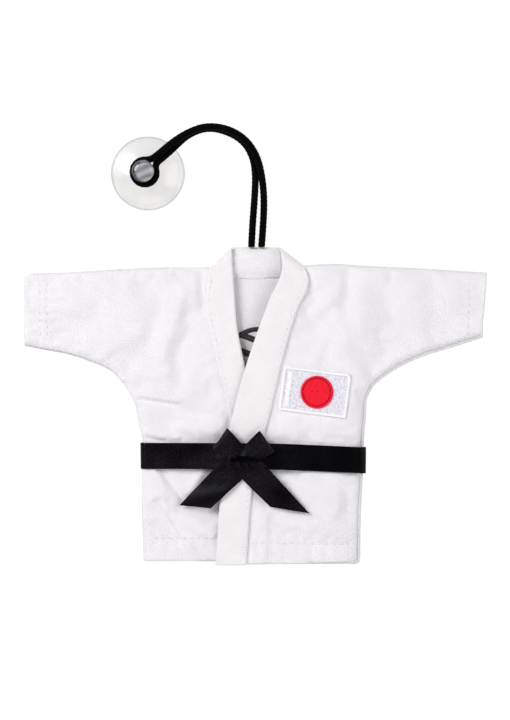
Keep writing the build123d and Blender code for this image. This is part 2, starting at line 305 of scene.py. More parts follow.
def fill(outline, pitch):
    """Even triangles inside an outline: points, triangles and the outline's own point numbers."""
    low, high = outline.min(0), outline.max(0)
    rows = np.arange(low[1], high[1], pitch * 0.866)
    grid = []
    for k, y in enumerate(rows):
        x = np.arange(low[0] + (k % 2) * pitch / 2, high[0], pitch)
        grid.append(np.column_stack([x, np.full_like(x, y)]))
    grid = np.vstack(grid)
    grid = grid[inside(grid, outline)]
    grid = grid[nearest(grid, np.vstack([outline, outline[:1]]))[0] > pitch * 0.6]
    every = [Vector(p) for p in np.vstack([outline, grid])]
    ring = list(range(len(outline)))
    points, _, faces, origin, _, _ = delaunay_2d_cdt(every, [], [ring], 1, 1e-5)
    found = {old: new for new, olds in enumerate(origin) for old in olds}
    flat = np.array([tuple(p) for p in points])
    triangles = np.array([f for f in faces if len(f) == 3])
    a, b, c = (flat[triangles[:, k]] for k in range(3))
    turned = (b[:, 0] - a[:, 0]) * (c[:, 1] - a[:, 1]) - (b[:, 1] - a[:, 1]) * (c[:, 0] - a[:, 0]) < 0
    triangles[turned] = triangles[turned][:, ::-1]
    return flat, triangles, [found[i] for i in ring]


def grid_faces(rows, columns, flipped=False, round_rows=False, round_columns=True):
    """Quads between a grid's points. A round grid's last row or column joins its first one."""
    faces = []
    for i in range(rows if round_rows else rows - 1):
        j = (i + 1) % rows
        for k in range(columns if round_columns else columns - 1):
            m = (k + 1) % columns
            quad = [i * columns + k, i * columns + m, j * columns + m, j * columns + k]
            faces.append([quad[0], *quad[:0:-1]] if flipped else quad)
    return faces


def unit(vectors):
    return vectors / np.maximum(np.linalg.norm(vectors, axis=-1), 1e-12)[..., None]


def rings_round(line, angle):
    """For each point of a line, unit vectors at these angles round it."""
    run = unit(np.gradient(line, axis=0))
    side = unit(np.cross(run, (0, 0, 1.0)))
    up = np.cross(side, run)
    return np.cos(angle)[None, :, None] * side[:, None] + np.sin(angle)[None, :, None] * up[:, None]


def circle(steps):
    return np.linspace(0, 2 * math.pi, steps, endpoint=False)


def point_normals(points, triangles):
    a, b, c = (points[triangles[:, k]] for k in range(3))
    face = np.cross(b - a, c - a)
    total = np.zeros_like(points)
    for k in range(3):
        np.add.at(total, triangles[:, k], face)
    return unit(total)


def signed_area(outline):
    """Positive when the outline runs counter-clockwise."""
    x, y = outline[:, 0], outline[:, 1]
    return (x * np.roll(y, -1) - y * np.roll(x, -1)).sum() / 2


def cloth(name, outline, top, material, pitch=0.7, thickness=CLOTH, kept=None, butted=None, ceiling=None):
    """A closed sheet of cloth whose upper face is at the height that top() gives.

    kept() tells which points are sewn or pressed down, and the rest buckle. butted is a line where the cloth
    meets its other half without a rounded edge. ceiling() is a height that the cloth stays under.
    """
    flat, triangles, ring = fill(outline, pitch)
    upper = np.column_stack([flat, top(flat)])
    if kept is not None:
        upper = buckled(upper, triangles, kept(flat))
    if ceiling is not None:
        upper[:, 2] = np.minimum(upper[:, 2], ceiling(flat))
    lower = upper - point_normals(upper, triangles) * thickness
    rim = np.array(ring)
    flush = np.zeros(len(ring), bool) if butted is None else nearest(flat[rim], butted)[0] < 0.05
    thin = np.where(flush, 1.0, 0.45)[:, None]
    middle = (upper[rim] + lower[rim]) / 2
    upper[rim] = middle + (upper[rim] - middle) * thin
    lower[rim] = middle + (lower[rim] - middle) * thin
    count = len(flat)
    faces = triangles.tolist() + (triangles[:, ::-1] + count).tolist()
    counter_clockwise = signed_area(outline) > 0
    for a, b in zip(ring, ring[1:] + ring[:1]):
        faces.append([b, a, a + count, b + count] if counter_clockwise else [a, b, b + count, a + count])
    piece = make_object(name, np.vstack([upper, lower]), faces, np.vstack([flat, flat]), material)
    corner = set(rim[flush].tolist()) | set((rim[flush] + count).tolist())
    crease = [set(edge.vertices) <= corner for edge in piece.data.edges]
    piece.data.attributes.new("sharp_edge", "BOOLEAN", "EDGE").data.foreach_set("value", crease)
    return piece


def buckled(points, triangles, kept):
    """Cloth that is a little too big for where it is sewn, after it has buckled. Points are millimetres."""
    scene = bpy.context.scene
    mesh = bpy.data.meshes.new("slack_cloth")
    mesh.from_pydata((points * SIMULATED).tolist(), [], triangles.tolist())
    obj = bpy.data.objects.new("slack_cloth", mesh)
    scene.collection.objects.link(obj)
    sewn = obj.vertex_groups.new(name="sewn")
    sewn.add(np.flatnonzero(kept).tolist(), 1.0, "REPLACE")
    modifier = obj.modifiers.new("Cloth", "CLOTH")
    settings = modifier.settings
    settings.quality = 6
    settings.mass = 0.3
    settings.tension_stiffness = 15
    settings.compression_stiffness = 15
    settings.shear_stiffness = 10
    settings.bending_stiffness = BENDING
    settings.air_damping = 3
    settings.vertex_group_mass = "sewn"
    settings.shrink_min = -SLACK
    settings.effector_weights.gravity = 0
    modifier.collision_settings.use_collision = False
    for number in range(1, SETTLING_FRAMES + 1):
        scene.frame_set(number)
    after = obj.evaluated_get(bpy.context.evaluated_depsgraph_get()).to_mesh()
    moved = np.empty(len(points) * 3)
    after.vertices.foreach_get("co", moved)
    shift = moved.reshape(-1, 3) / SIMULATED - points
    bpy.data.objects.remove(obj)
    scene.frame_set(1)
    shift[:, :2] = np.clip(shift[:, :2], -BUCKLE_SIDEWAYS, BUCKLE_SIDEWAYS)
    shift[:, 2] = np.clip(shift[:, 2], -BUCKLE_DOWN, BUCKLE_UP)
    return points + shift


def shell(name, upper, lower, material):
    """A closed solid between two grids of points of the same shape: rows along, columns across."""
    rows, columns = upper.shape[:2]
    count = rows * columns
    number = np.arange(count).reshape(rows, columns)
    faces = []
    for i in range(rows - 1):
        j = i + 1
        for k in range(columns - 1):
            quad = [number[i, k], number[i, k + 1], number[j, k + 1], number[j, k]]
            faces.append(quad)
            faces.append([q + count for q in quad[::-1]])
        for k in (0, columns - 1):
            wall = [number[i, k], number[j, k], number[j, k] + count, number[i, k] + count]
            faces.append(wall if k == 0 else wall[::-1])
    for i in (0, rows - 1):
        for k in range(columns - 1):
            wall = [number[i, k + 1], number[i, k], number[i, k] + count, number[i, k + 1] + count]
            faces.append(wall if i == 0 else wall[::-1])
    middle = upper[:, columns // 2]
    along = lengths(middle)
    across = np.stack([lengths(row) for row in upper[:: max(1, rows // 8)]]).mean(0)
    uv = np.stack(np.broadcast_arrays(across[None, :], along[:, None]), axis=-1).reshape(-1, 2)
    faces = [[int(q) for q in face] for face in faces]
    points = np.vstack([upper.reshape(-1, 3), lower.reshape(-1, 3)])
    return make_object(name, points, faces, np.vstack([uv, uv]), material)


def grid_normals(grid):
    along = np.gradient(grid, axis=0)
    across = np.gradient(grid, axis=1)
    return unit(np.cross(across, along))


def ribbon(name, first, second, material, relief, step=0.5, columns=17):
    """A ribbon between two edges, each a list of points. relief(u, v, along) lifts it off its own plane."""
    a, b = dense(first), dense(second)
    rows = int(max(lengths(a)[-1], lengths(b)[-1]) / step) + 2
    a, b = evenly(a, rows), evenly(b, rows)
    u = np.linspace(0, 1, columns)
    grid = a[:, None, :] + (b - a)[:, None, :] * u[None, :, None]
    normal = grid_normals(grid)
    v = np.linspace(0, 1, rows)
    along = lengths((a + b) / 2)
    lift = relief(u[None, :], v[:, None], along[:, None])
    grid = grid + normal * lift[..., None]
    normal = grid_normals(grid)
    half = RIBBON / 2 * np.where((u == 0) | (u == 1), 0.5, 1.0)[None, :, None]
    return shell(name, grid + normal * half, grid - normal * half, material)


def tube(points, radius, sides=8, tapered=True):
    """Points and faces of a plain tube along a line. A thread's ends are tapered."""
    line = np.asarray(points, float)
    size = np.full(len(line), radius)
    if tapered:
        size[0] = size[-1] = radius * 0.4
    grid = line[:, None] + rings_round(line, circle(sides)) * size[:, None, None]
    faces = grid_faces(len(line), sides)
    faces.append(list(range(sides))[::-1])
    faces.append([(len(line) - 1) * sides + k for k in range(sides)])
    return grid.reshape(-1, 3), faces


def threads(name, lines, radius, material):
    """Many short threads in one object."""
    points, faces, uv = [], [], []
    count = 0
    for line in lines:
        p, f = tube(line, radius)
        points.append(p)
        faces += [[q + count for q in face] for face in f]
        uv.append(p[:, :2])
        count += len(p)
    return make_object(name, np.vstack(points), faces, np.vstack(uv), material)


def stitches(name, line, top, material, length=1.9, gap=0.9, radius=0.17):
    """A row of machine stitches that lies on the cloth and dips into it between stitches."""
    total = lengths(line)[-1]
    fine = evenly(line, int(total / 0.1) + 2)
    place = lengths(fine)
    rows = []
    start = gap
    while start + length < total:
        at = np.linspace(start, start + length, 7)
        xy = np.column_stack([np.interp(at, place, fine[:, k]) for k in range(2)])
        z = top(xy) + radius * np.array([-1.2, 0.1, 0.6, 0.8, 0.6, 0.1, -1.2])
        rows.append(np.column_stack([xy, z]))
        start += length + gap
    return threads(name, rows, radius, material)


# ---------------------------------------------------------------- folds

FOLD_DEPTH = 1.3          # the heights of the folds below are multiplied by this
# Each fold is (start x, start y, end x, end y, half width, height). A valley has a negative height.
RIGHT_FOLDS = [
    (-28.5, 45.0, -37.5, 19.0, 3.2, 0.72), (-36.5, 46.0, -43.5, 25.0, 3.6, -0.36),
    (-24.0, 38.0, -31.5, 18.0, 2.6, -0.35), (-21.2, 53.0, -21.4, 36.0, 1.5, -0.5),
    (-24.5, 52.0, -24.5, 40.0, 1.8, 0.3), (-48.0, 12.0, -36.0, 12.5, 2.5, 0.35),
    (-60.0, 20.0, -46.0, 30.0, 3.0, 0.3), (-62.0, 48.0, -46.0, 40.0, 4.0, 0.3),
    (-46.0, 2.6, -31.0, 0.4, 0.8, -0.4), (-46.0, 4.3, -31.0, 2.2, 1.3, 0.3),
    (-44.0, -10.2, -31.0, -12.6, 1.2, 0.55), (-44.5, -12.6, -36.0, -14.4, 0.8, -0.5),
    (-30.0, -8.5, -17.0, -10.5, 2.2, 0.4), (-26.0, -3.0, -16.0, -4.5, 2.0, -0.3),
    (-38.0, -25.0, -28.0, -38.5, 1.5, -1.0), (-41.0, -27.0, -34.0, -44.0, 2.4, 0.75),
    (-39.2, -38.5, -30.5, -54.0, 1.5, -0.65), (-34.0, -42.0, -27.0, -56.0, 2.4, 0.45),
    (-29.5, -39.5, -17.5, -44.5, 2.2, -0.55), (-28.0, -46.5, -18.0, -51.0, 2.6, 0.35),
    (-22.0, -27.0, -25.5, -33.0, 2.0, 0.4), (-43.7, -29.0, -43.2, -61.0, 0.5, -0.35),
    (-75.0, 30.0, -58.0, 34.0, 5.0, -0.25), (-84.0, 40.0, -66.0, 44.0, 4.0, 0.25),
]
LEFT_FOLDS = [
    (26.5, 54.5, 29.6, 42.0, 2.8, 0.8), (29.6, 42.0, 35.5, 25.0, 3.0, 0.65),
    (37.0, 52.0, 36.5, 36.0, 3.4, -0.55), (22.5, 44.0, 23.5, 30.0, 2.2, -0.35),
    (41.0, 34.0, 47.0, 22.0, 3.0, 0.3), (58.0, 45.0, 80.0, 42.0, 5.0, 0.3),
    (60.0, 31.0, 78.0, 33.0, 4.5, -0.3), (46.0, 6.0, 36.0, 20.0, 2.2, 0.3),
    (14.0, -7.0, 34.0, -10.0, 2.8, 0.4), (18.0, -12.6, 40.0, -13.6, 1.4, -0.3),
    (22.0, -30.0, 34.0, -38.0, 3.0, 0.35), (12.0, -46.0, 33.0, -50.0, 3.5, 0.35),
    (26.0, -44.0, 14.0, -40.0, 2.4, -0.4), (36.0, -32.0, 38.5, -56.0, 3.0, -0.25),
    (4.0, -44.0, 3.0, -60.0, 2.0, 0.3),
]


def folded(xy, folds):
    """The height that folds add."""
    total = np.zeros(len(xy))
    for x0, y0, x1, y1, width, height in folds:
        gap = nearest(xy, straight([(x0, y0), (x1, y1)], 100))[0]
        total += FOLD_DEPTH * height * np.exp(-((gap / width) ** 2))
    return total


def stitched(xy, line, depth=0.15, width=0.5, pitch=2.8):
    """The groove that a row of stitches pulls into the cloth, deeper at every needle hole."""
    gap, along = nearest(xy, line)
    hole = 0.65 + 0.35 * np.cos(2 * math.pi * along / pitch)
    return -depth * hole * np.exp(-((gap / width) ** 2))


def gathered(xy, line, reach=5.0, height=0.16, pitch=5.3):
    """Small puckers that a tight seam makes beside it."""
    gap, along = nearest(xy, line)
    wave = np.sin(2 * math.pi * along / pitch) + 0.6 * np.sin(2 * math.pi * along / (pitch * 1.7) + 1.0)
    return height * wave * np.exp(-gap / reach) * ease(gap, 0.0, 1.2)


def belt_line(x):
    """Where the middle of the belt lies, across the jacket."""
    return BELT_MIDDLE + BELT_SLOPE * np.maximum(x - 6.0, 0)


def beside_belt(xy, slip=0.0):
    """How far each point is outside the belt, or outside the way that it can slip."""
    offset = xy[:, 1] - belt_line(xy[:, 0])
    return np.maximum(np.maximum(offset - BELT_HALF_WIDTH, -offset - BELT_HALF_WIDTH - slip), 0)


def waist(xy, slip=0.0):
    """How much the belt presses the cloth down: 1 under the belt, fading beside it."""
    return np.exp(-beside_belt(xy, slip) / 3.0)


# The belt's path round the waist as (x, z): from the knot, round the wearer's right, behind, and back to it.
BELT_RIGHT = [(-5.0, 8.0), (-10.0, 7.8), (-17.0, 6.2), (-28.0, 5.0), (-40.0, 4.5), (-44.6, 3.9)]
BELT_BEHIND = [
    (-45.7, 2.4), (-44.8, 0.8), (-40.0, 0.3), (-20.0, 0.3), (0.0, 0.3), (20.0, 0.3), (38.0, 0.3), (42.9, 0.9),
    (43.8, 2.8),
]
BELT_LEFT = [(43.2, 5.2), (40.0, 6.0), (30.0, 6.3), (19.0, 6.7), (9.0, 8.2), (2.0, 8.6)]
BELT_PATH = BELT_RIGHT + BELT_BEHIND + BELT_LEFT + [(-5.0, 8.6)]
BELT_FRONT = np.array(BELT_RIGHT[::-1] + BELT_LEFT[::-1])


def tail_ceiling(xy, low, high, height):
    """The cloth can't rise into the belt's way or into a tail's: a box from low to high, under this height.

    The belt's way is where it lies, and as far down as it can slip.
    """
    under = np.interp(xy[:, 0], BELT_FRONT[:, 0], BELT_FRONT[:, 1]) - RIBBON / 2 - BELT_CLEARANCE
    beyond = np.maximum(low - xy, xy - high).max(1)
    return np.minimum(under + 0.5 * beside_belt(xy, BELT_SLIP), height + 0.5 * np.maximum(beyond, 0))


def right_ceiling(xy):
    return tail_ceiling(xy, (-34.0, -50.0), (-14.0, -28.0), 4.2)


def left_ceiling(xy):
    return tail_ceiling(xy, (-2.0, -52.0), (22.0, -24.0), 6.7)


# ---------------------------------------------------------------- lines on the jacket

RIGHT_EDGE = joined(smooth(RIGHT_UNDER), smooth(RIGHT_SIDE))
LEFT_EDGE = joined(smooth(LEFT_UNDER), smooth(LEFT_SIDE), smooth(LEFT_CORNER, 0.6))
RIGHT_CUFF_STITCHES = [straight([(x, 52.0), (x, y)]) for x, y in ((-85.8, 23.6), (-83.0, 23.0))]
LEFT_CUFF_STITCHES = [straight([(85.2, 52.4), (84.6, 25.6)])]
RIGHT_HEM_STITCHES = straight([(-43.6, -52.6), (4.0, -53.0)])
LEFT_HEM_STITCHES = straight([(-2.6, -54.6), (40.6, -55.0)])
RIGHT_SHOULDER_LINE = smooth(RIGHT_SHOULDER)
LEFT_SHOULDER_LINE = smooth(LEFT_SHOULDER)


def panel_inner(band_outer, reach):
    """The edge of a front panel, hidden under its band."""
    inner = [(x + reach, y) for x, y in band_outer]
    inner[0] = (band_outer[0][0] + reach * 0.6, band_outer[0][1])
    return inner


def inset(line, amount):
    """A line moved to its left-hand side."""
    run = np.gradient(line, axis=0)
    run /= np.linalg.norm(run, axis=1)[:, None]
    return line + np.column_stack([-run[:, 1], run[:, 0]]) * amount


LEFT_SEAM_LINE = inset(LEFT_EDGE, -SEAM_INSET)


def front_outline(shoulder, shoulder_start, cuff, edge, inner):
    """A front and its sleeve, cut as one cloth."""
    hem = straight([tuple(edge[-1]), tuple(inner[-1])])
    neck = straight([tuple(inner[0]), shoulder_start])
    return joined(shoulder, straight(cuff), edge, hem, inner[::-1], neck)[:-1]


def right_outline():
    inner = smooth(panel_inner(RIGHT_BAND_OUTER, PANEL_UNDER_BAND))
    return front_outline(RIGHT_SHOULDER_LINE, RIGHT_SHOULDER[0], RIGHT_CUFF, RIGHT_EDGE, inner)


def left_outline():
    inner = smooth(panel_inner(LEFT_BAND_OUTER, -PANEL_UNDER_BAND))
    cuff = [LEFT_CUFF[0], tuple(LEFT_SEAM_LINE[0])]
    return front_outline(LEFT_SHOULDER_LINE, LEFT_SHOULDER[0], cuff, LEFT_SEAM_LINE, inner)


def turned(points):
    """Points of the patch's own plane, moved to where the patch lies."""
    c, s = math.cos(PATCH_TILT), math.sin(PATCH_TILT)
    x, y = points[:, 0], points[:, 1]
    return np.column_stack([PATCH_MIDDLE[0] + c * x - s * y, PATCH_MIDDLE[1] + s * x + c * y])


def patch_gap(xy):
    """How far outside the patch each point is."""
    c, s = math.cos(PATCH_TILT), math.sin(PATCH_TILT)
    x, y = xy[:, 0] - PATCH_MIDDLE[0], xy[:, 1] - PATCH_MIDDLE[1]
    beyond_x = np.maximum(np.abs(c * x + s * y) - PATCH_SIZE[0] / 2, 0)
    beyond_y = np.maximum(np.abs(c * y - s * x) - PATCH_SIZE[1] / 2, 0)
    return np.hypot(beyond_x, beyond_y)


def patch_floor(xy):
    """The patch is stiffer than the cloth under it, so it follows only the broad shape."""
    return LEFT_TOP + 0.15 - 0.35 * waist(xy) + 0.012 * (xy[:, 1] - PATCH_MIDDLE[1])


def right_top(xy):
    """Height of the upper face of the wearer's right front and sleeve."""
    x = xy[:, 0]
    level = RIGHT_TOP + (SLEEVE_TOP - RIGHT_TOP) * ease(-x, 25, 58)
    level = level + folded(xy, RIGHT_FOLDS) + 0.5 * ripple(xy, 15.0, 1.7) + 0.09 * ripple(xy, 4.5, 8.3)
    level = level - 0.55 * waist(xy) * ease(-x, 10, 30)
    for line in RIGHT_CUFF_STITCHES:
        level = level + stitched(xy, line) + gathered(xy, line, 3.0, 0.07, 4.1)
    level = level + stitched(xy, RIGHT_HEM_STITCHES, 0.24) + gathered(xy, RIGHT_HEM_STITCHES, 4.0, 0.12)
    level = level + gathered(xy, RIGHT_EDGE, 4.0, 0.12, 7.0)
    seam = np.minimum(nearest(xy, RIGHT_EDGE)[0], nearest(xy, RIGHT_SHOULDER_LINE)[0] * 1.3)
    return EDGE_FRONT + (level - EDGE_FRONT) * eased_edge(seam, EDGE_ROUND)


def left_top(xy):
    """Height of the upper face of the wearer's left front and sleeve."""
    x = xy[:, 0]
    level = LEFT_TOP + (SLEEVE_TOP + 0.3 - LEFT_TOP) * ease(x, 34, 62)
    level = level - 1.1 * (1 - ease(nearest(xy, LEFT_SEAM_LINE)[0], 0.0, 14.0)) * (1 - ease(x, 44, 60))
    level = level + folded(xy, LEFT_FOLDS) + 0.5 * ripple(xy, 15.0, 5.1) + 0.09 * ripple(xy, 4.5, 2.9)
    level = level - 0.35 * waist(xy)
    under_patch = 1 - ease(patch_gap(xy), 0.0, 5.0)
    level = level * (1 - under_patch) + patch_floor(xy) * under_patch
    for line in LEFT_CUFF_STITCHES:
        level = level + stitched(xy, line) + gathered(xy, line, 3.5, 0.1, 3.6)
    level = level + stitched(xy, LEFT_HEM_STITCHES, 0.26) + gathered(xy, LEFT_HEM_STITCHES, 4.0, 0.14)
    level = level + gathered(xy, LEFT_SEAM_LINE, 4.0, 0.1, 7.0)
    seam = np.minimum(nearest(xy, LEFT_SEAM_LINE)[0] * 1.2, nearest(xy, LEFT_SHOULDER_LINE)[0] * 1.3)
    return EDGE_FRONT + (level - EDGE_FRONT) * eased_edge(seam, EDGE_ROUND)


def back_top(xy):
    """Height of the upper face of the back."""
    level = BACK_TOP + 0.12 * np.abs(ripple(xy, 14.0, 3.3))
    level = level + 0.6 * waist(xy, BELT_SLIP)
    edges = nearest(xy, RIGHT_EDGE)[0]
    for shoulder in (RIGHT_SHOULDER_LINE, LEFT_SHOULDER_LINE):
        edges = np.minimum(edges, nearest(xy, shoulder)[0])
    rise = 1 - eased_edge(edges, EDGE_ROUND)
    allowance = 1 - ease(nearest(xy, LEFT_EDGE)[0], 1.7, 4.0)
    return level + (EDGE_BACK - level) * np.maximum(rise, allowance)


# ---------------------------------------------------------------- materials


class Graph:
    """A material's nodes, made one at a time."""

    def __init__(self, name):
        self.material = bpy.data.materials.new(name)
        self.material.use_nodes = True
        self.nodes = self.material.node_tree.nodes
        self.links = self.material.node_tree.links
        self.shader = self.nodes["Principled BSDF"]
        self.uv = self.add("ShaderNodeTexCoord").outputs["UV"]
        split = self.add("ShaderNodeSeparateXYZ")
        self.links.new(self.uv, split.inputs[0])
        self.u, self.v = split.outputs["X"], split.outputs["Y"]

    def add(self, kind):
        return self.nodes.new(kind)

    def set(self, **values):
        for name, value in values.items():
            self.shader.inputs[name.replace("_", " ")].default_value = value

    def math(self, operation, a, b=0.0):
        node = self.add("ShaderNodeMath")
        node.operation = operation
        for socket, value in zip(node.inputs, (a, b)):
            if isinstance(value, (int, float)):
                socket.default_value = value
            else:
                self.links.new(value, socket)
        return node.outputs[0]

    def times(self, a, b):
        return self.math("MULTIPLY", a, b)

    def plus(self, a, b):
        return self.math("ADD", a, b)

    def stripes(self, angle, pitch):
        """Soft ridges, from 0 to 1, that many millimetres apart, along a direction in degrees."""
        across = math.radians(angle + 90)
        along_u = self.times(self.u, math.cos(across))
        along_v = self.times(self.v, math.sin(across))
        place = self.plus(along_u, along_v)
        wave = self.math("SINE", self.times(place, 2 * math.pi / pitch))
        return self.plus(self.times(wave, 0.5), 0.5)

    def mottle(self, size, detail=3.0):
        """Random cloudiness, from 0 to 1, with lumps of that many millimetres."""
        node = self.add("ShaderNodeTexNoise")
        node.inputs["Scale"].default_value = 1.0 / size
        node.inputs["Detail"].default_value = detail
        self.links.new(self.uv, node.inputs["Vector"])
        return node.outputs["Fac"]

    def colour(self, factor, low, high):
        node = self.add("ShaderNodeMix")
        node.data_type = "RGBA"
        self.links.new(factor, node.inputs["Factor"])
        node.inputs[6].default_value = (*low, 1)
        node.inputs[7].default_value = (*high, 1)
        self.links.new(node.outputs[2], self.shader.inputs["Base Color"])

    def bump(self, height, depth, strength=1.0):
        """Bump of that many millimetres."""
        node = self.add("ShaderNodeBump")
        node.inputs["Distance"].default_value = depth * MM
        node.inputs["Strength"].default_value = strength
        self.links.new(height, node.inputs["Height"])
        self.links.new(node.outputs[0], self.shader.inputs["Normal"])

    def roughness(self, factor, low, high):
        rough = self.plus(self.times(factor, high - low), low)
        self.links.new(rough, self.shader.inputs["Roughness"])


def cotton(name, twill_angle, relief, low, high):
    """Bleached cotton drill: diagonal twill lines over fine threads, a little fuzz and uneven bleaching."""
    g = Graph(name)
    twill = g.stripes(twill_angle, 0.82)
    threads_both = g.times(g.stripes(0, 0.42), g.stripes(90, 0.38))
    weave = g.plus(g.times(twill, 0.75), g.times(threads_both, 0.25))
    uneven = g.times(weave, g.plus(0.1, g.times(g.mottle(1.6), 1.6)))
    g.bump(uneven, relief, 0.8)
    shade = g.plus(g.times(uneven, 0.5), g.times(g.mottle(9.0), 0.5))
    g.colour(shade, low, high)
    g.set(Roughness=0.92, Sheen_Weight=0.1, Sheen_Roughness=0.5)
    return g.material


def thread(name, angle, pitch, low, high, rough=0.45, lumps=0.35):
    """Satin stitch: close parallel rayon threads, and how much their bundles bulge unevenly."""
    g = Graph(name)
    lines = g.times(g.stripes(angle, pitch), 1 - lumps)
    bundles = g.times(g.math("POWER", g.mottle(0.9, 2.0), 2.0), 3.4 * lumps)
    broken = g.plus(lines, bundles)
    g.bump(broken, 0.12, 0.7)
    g.colour(broken, low, high)
    g.roughness(g.mottle(1.4), rough, rough + 0.25)
    g.set(Specular_IOR_Level=0.2)
    return g.material


def satin(name, shine, painted_sheen_falloff=0.0):
    """Black satin ribbon: glints of its threads and broad patches of sheen are painted into its colour, over
    its real specular shine. The painted sheen can fall off along its length.
    """
    g = Graph(name)
    # The colour is painted light: painted glints of the threads, painted broad patches of sheen, and painted
    # sheen that falls off along the length where asked.
    painted_glint = g.times(g.math("POWER", g.mottle(0.6, 2.0), 5.0), 12.0)
    broad = g.times(g.math("POWER", g.mottle(12.0, 0.0), 2.0), 4.0)
    left = g.math("MAXIMUM", g.math("SUBTRACT", 1.0, g.times(g.v, painted_sheen_falloff)), 0.15)
    uneven = g.times(g.times(painted_glint, broad), left)
    g.bump(g.plus(g.mottle(0.7), g.times(g.stripes(0, 0.9), 0.3)), 0.05, 0.5)
    g.colour(uneven, (0.0004, 0.0003, 0.0006), (0.0145 * shine, 0.0115 * shine, 0.0160 * shine))
    g.roughness(g.mottle(1.3), 0.28, 0.46)
    g.set(Specular_IOR_Level=0.06 * shine, Anisotropic=0.3)
    return g.material


def elastic(name):
    """Black braided elastic: two sets of strands that cross round the cord."""
    g = Graph(name)
    braid = g.math("MAXIMUM", g.stripes(52, 0.62), g.stripes(-52, 0.62))
    g.bump(braid, 0.12, 0.8)
    g.colour(braid, (0.0005, 0.0005, 0.0006), (0.0020, 0.0019, 0.0022))
    g.set(Roughness=0.6, Specular_IOR_Level=0.03)
    return g.material


def vinyl(name, low, high, rough, lumps, painted_streak=0.0):
    """Clear soft vinyl: milky, in cloudy patches whose darker tint is partly painted shade, faintly wavy from
    its mould, and, where asked, with painted streaks of reflection.
    """
    g = Graph(name)
    g.bump(g.mottle(7.0, 1.0), 0.25, 0.3)
    # Milky cloudiness whose darker patches are partly painted shade, mixed with painted streaks of
    # reflection.
    cloudy = g.times(g.mottle(lumps), 1 - painted_streak)
    g.colour(g.plus(cloudy, g.times(g.stripes(24, 3.6), painted_streak)), low, high)
    g.set(Roughness=rough, IOR=1.45, Transmission_Weight=0.96, Specular_IOR_Level=0.35)
    return g.material


COTTON = cotton("white_cotton_twill", -60, 0.13, (0.78, 0.757, 0.79), (0.98, 0.953, 0.985))
COTTON_BAND = cotton("white_cotton_band", 4, 0.09, (0.80, 0.772, 0.79), (0.98, 0.95, 0.97))
SEWING_THREAD = thread("white_sewing_thread", 45, 0.3, (0.7, 0.69, 0.73), (0.88, 0.87, 0.9))
PATCH_THREAD = thread("patch_satin_stitch", 90, 1.3, (0.52, 0.50, 0.59), (0.86, 0.84, 0.92), 0.45, 0.85)
BORDER_THREAD = thread("patch_border_stitch", 0, 1.2, (0.97, 0.965, 0.985), (1.0, 1.0, 1.0))
RED_THREAD = thread("red_satin_stitch", 84, 1.05, (0.66, 0.001, 0.010), (0.98, 0.007, 0.032), 0.5, 0.8)
RED_RIM_THREAD = thread("red_rim_stitch", 0, 1.0, (0.80, 0.004, 0.03), (0.98, 0.012, 0.05), 0.5)
# A darker copy of the red thread for the disc's groove: painted shade.
RED_THREAD_PAINTED_SHADE = thread("red_stitch_painted_shade", 84, 1.0, (0.26, 0.001, 0.006), (0.50, 0.003, 0.015), 0.5)
BLACK_THREAD = thread("black_satin_stitch", 90, 0.9, (0.0015, 0.0012, 0.0015), (0.075, 0.065, 0.062))
SATIN = satin("black_satin_ribbon", 1.0)
# On the belt, the painted sheen falls off along its length.
SATIN_BELT = satin("black_satin_belt", 1.0, 0.006)
# A darker, duller copy of the satin for the knot: painted shade in its crease.
SATIN_PAINTED_SHADE = satin("black_satin_painted_shade", 0.25)
ELASTIC = elastic("black_braided_elastic")
VINYL = vinyl("clear_vinyl", (0.74, 0.725, 0.715), (0.99, 0.985, 0.98), 0.18, 9.0)
# Dark grey with streaks for the cup's head: painted reflection of a dark room in the clear vinyl.
VINYL_HEAD_PAINTED_REFLECTION = vinyl("vinyl_head_painted_reflection", (0.012, 0.012, 0.018), (0.32, 0.32, 0.36), 0.06, 2.0, 0.6)
# A darker grey for the cup's rim: painted shade at its edge.
VINYL_RIM_PAINTED_SHADE = vinyl("vinyl_rim_painted_shade", (0.50, 0.50, 0.52), (0.72, 0.72, 0.74), 0.2, 4.0)

# ---------------------------------------------------------------- jacket cloth


def declare_sheet(outline):
    """Works out the flat area of a cut cloth from its own outline, and does nothing more."""
    area = abs(signed_area(outline)) * MM * MM


def make_backs():
    """The back is two halves, sewn together down the middle."""
    seam = [(0.0, -62.5), (0.0, COLLAR_TOP)]
    halves = (
        ("right", NECK_RIGHT, RIGHT_SHOULDER_LINE, RIGHT_CUFF, RIGHT_EDGE, "right_sleeve_body"),
        ("left", NECK_LEFT, LEFT_SHOULDER_LINE, LEFT_CUFF, LEFT_EDGE, "left_sleeve_body"),
    )
    for side, neck_side, shoulder, cuff, edge, body in halves:
        neck = straight([seam[1], neck_side, tuple(shoulder[0])])
        hem = straight([tuple(edge[-1]), seam[0]])
        outline = joined(straight(seam), neck, shoulder, straight(cuff), edge, hem)[:-1]
        piece = cloth(f"{side}_back_cloth", outline, back_top, COTTON, pitch=1.0, butted=straight(seam))
        declare_sheet(outline)
        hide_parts("back_panel")
        cross_armhole(piece, side, body)


def cross_armhole(piece, side, body):
    """Bakes the piece's placement into its mesh."""
    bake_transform(piece)


def near_lines(xy, lines, reach):
    close = np.zeros(len(xy), bool)
    for line in lines:
        close |= nearest(xy, line)[0] < reach
    return close


def sewn_down(xy, seams, band_edge, rows):
    """Where a front can't buckle: at its seams, band and rows of stitches, and under the belt."""
    sewn = near_lines(xy, seams, 0.4) | near_lines(xy, [smooth(band_edge)], 1.2) | near_lines(xy, rows, 0.5)
    return sewn | (waist(xy) > 0.9)


